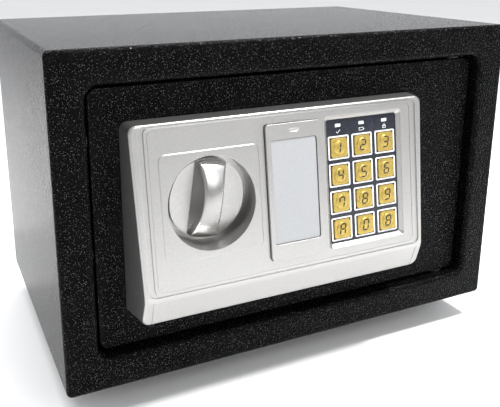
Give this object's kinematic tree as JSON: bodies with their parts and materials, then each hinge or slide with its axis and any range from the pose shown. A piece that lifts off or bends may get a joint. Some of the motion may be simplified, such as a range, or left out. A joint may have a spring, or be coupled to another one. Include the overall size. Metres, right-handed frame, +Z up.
{
  "type": "electronic security safe",
  "caption": "Small black steel safe with a recessed side-hinged door, a silver panel with a turning knob, an override cover and a gold-key keypad.",
  "frame": {"origin": "centre of the base's underside, halfway between the sides and between the front plane and the back", "axes": "+X to the hinge side (right seen from the front), +Y from the front into the safe, +Z up"},
  "size_m": [0.31, 0.219, 0.2],
  "materials": {
    "case_paint": "wrinkle powder coat, black",
    "panel_silver": "satin silver metallic paint",
    "inlay": "fine matt, cool light grey",
    "faceplate": "semi-gloss, blue-black",
    "key_gold": "metallic gold",
    "window": "milky translucent",
    "zinc_steel": "zinc plated",
    "bright_steel": "bright",
    "brass": "turned",
    "copper": "enamelled winding",
    "circuit_board": "solder mask",
    "black_plastic": "fine texture",
    "red_plastic": "glossy",
    "cell_wrap": "printed foil",
    "nylon": "black",
    "felt": "needled felt"
  },
  "bodies": {
    "case": {"front_frame": "case_paint", "body_wrap": "case_paint", "back_panel": "case_paint", "floor_mat": "felt", "door_stop_upper": "case_paint", "door_stop_lower": "case_paint"},
    "door": {"door_plate": "case_paint", "door_tray": "case_paint", "inner_cover": "case_paint", "cover_screw_1": "zinc_steel", "cover_screw_2": "zinc_steel", "cover_screw_3": "zinc_steel", "cover_screw_4": "zinc_steel", "hinge_pin_top": "bright_steel", "hinge_pin_bottom": "bright_steel", "hinge_washer_top": "nylon", "hinge_washer_bottom": "nylon", "panel_bezel": "panel_silver", "keypad_faceplate": "faceplate", "light_guide": "window", "keypad_board": "circuit_board", "control_board": "circuit_board", "battery_box": "black_plastic", "battery_cell_1": "cell_wrap", "battery_cell_2": "cell_wrap", "battery_cell_3": "cell_wrap", "battery_cell_4": "cell_wrap", "lock_cylinder": "bright_steel", "solenoid_frame": "zinc_steel", "solenoid_coil": "copper", "knob_bush": "brass", "guide_stud_1": "bright_steel", "guide_stud_2": "bright_steel"},
    "knob": {"knob": "panel_silver", "knob_spindle": "bright_steel", "knob_crank": "zinc_steel"},
    "bolts": {"bolt_carriage": "zinc_steel", "lock_bolt_upper": "bright_steel", "lock_bolt_lower": "bright_steel"},
    "plunger": {"solenoid_plunger": "bright_steel", "plunger_spring": "bright_steel"},
    "lock": {"lock_plug": "bright_steel", "lock_cam": "zinc_steel"},
    "override_cover": {"override_cover": "panel_silver", "cover_inlay": "inlay"},
    "reset_button": {"reset_button": "red_plastic"},
    "battery_cover": {"battery_cover": "black_plastic"},
    "key_1": {"key_1": "key_gold"},
    "key_2": {"key_2": "key_gold"},
    "key_3": {"key_3": "key_gold"},
    "key_4": {"key_4": "key_gold"},
    "key_5": {"key_5": "key_gold"},
    "key_6": {"key_6": "key_gold"},
    "key_7": {"key_7": "key_gold"},
    "key_8": {"key_8": "key_gold"},
    "key_9": {"key_9": "key_gold"},
    "key_a": {"key_a": "key_gold"},
    "key_0": {"key_0": "key_gold"},
    "key_b": {"key_b": "key_gold"}
  },
  "joints": [
    {"name": "door_hinge", "type": "hinge", "parent": "case", "child": "door", "pos_m": [0.12, -0.0866, 0.1], "axis": [0, 0, 1], "range_deg": [0, 105]},
    {"name": "knob_turn", "type": "hinge", "parent": "door", "child": "knob", "pos_m": [-0.06845, -0.1035, 0.1103], "axis": [0, -1, 0], "range_deg": [0, 60]},
    {"name": "bolt_slide", "type": "slide", "parent": "door", "child": "bolts", "axis": [-1, 0, 0], "range_m": [0, 0.015]},
    {"name": "plunger_slide", "type": "slide", "parent": "door", "child": "plunger", "axis": [0, 0, 1], "range_m": [0, 0.004], "deforming": ["plunger_spring"]},
    {"name": "lock_turn", "type": "hinge", "parent": "door", "child": "lock", "pos_m": [-0.0148, -0.09, 0.1103], "axis": [0, 1, 0], "range_deg": [0, 90]},
    {"name": "override_lift", "type": "slide", "parent": "door", "child": "override_cover", "axis": [0, -0.9891, 0.1471], "range_m": [0, 0.04]},
    {"name": "reset_press", "type": "slide", "parent": "door", "child": "reset_button", "axis": [0, -1, 0], "range_m": [0, 0.0015], "stiffness_N_per_m": 600},
    {"name": "battery_flap", "type": "hinge", "parent": "door", "child": "battery_cover", "pos_m": [0.0528, -0.0515, 0.0929], "axis": [1, 0, 0], "range_deg": [0, 100]},
    {"name": "key_1_press", "type": "slide", "parent": "door", "child": "key_1", "axis": [0, 0.9891, -0.1471], "range_m": [0, 0.001], "stiffness_N_per_m": 600},
    {"name": "key_2_press", "type": "slide", "parent": "door", "child": "key_2", "axis": [0, 0.9891, -0.1471], "range_m": [0, 0.001], "stiffness_N_per_m": 600},
    {"name": "key_3_press", "type": "slide", "parent": "door", "child": "key_3", "axis": [0, 0.9891, -0.1471], "range_m": [0, 0.001], "stiffness_N_per_m": 600},
    {"name": "key_4_press", "type": "slide", "parent": "door", "child": "key_4", "axis": [0, 0.9891, -0.1471], "range_m": [0, 0.001], "stiffness_N_per_m": 600},
    {"name": "key_5_press", "type": "slide", "parent": "door", "child": "key_5", "axis": [0, 0.9891, -0.1471], "range_m": [0, 0.001], "stiffness_N_per_m": 600},
    {"name": "key_6_press", "type": "slide", "parent": "door", "child": "key_6", "axis": [0, 0.9891, -0.1471], "range_m": [0, 0.001], "stiffness_N_per_m": 600},
    {"name": "key_7_press", "type": "slide", "parent": "door", "child": "key_7", "axis": [0, 0.9891, -0.1471], "range_m": [0, 0.001], "stiffness_N_per_m": 600},
    {"name": "key_8_press", "type": "slide", "parent": "door", "child": "key_8", "axis": [0, 0.9891, -0.1471], "range_m": [0, 0.001], "stiffness_N_per_m": 600},
    {"name": "key_9_press", "type": "slide", "parent": "door", "child": "key_9", "axis": [0, 0.9891, -0.1471], "range_m": [0, 0.001], "stiffness_N_per_m": 600},
    {"name": "key_a_press", "type": "slide", "parent": "door", "child": "key_a", "axis": [0, 0.9891, -0.1471], "range_m": [0, 0.001], "stiffness_N_per_m": 600},
    {"name": "key_0_press", "type": "slide", "parent": "door", "child": "key_0", "axis": [0, 0.9891, -0.1471], "range_m": [0, 0.001], "stiffness_N_per_m": 600},
    {"name": "key_b_press", "type": "slide", "parent": "door", "child": "key_b", "axis": [0, 0.9891, -0.1471], "range_m": [0, 0.001], "stiffness_N_per_m": 600}
  ],
  "couplings": [
    {"joint": "knob_turn", "follows": "bolt_slide", "rad_per_m": 69.81}
  ]
}
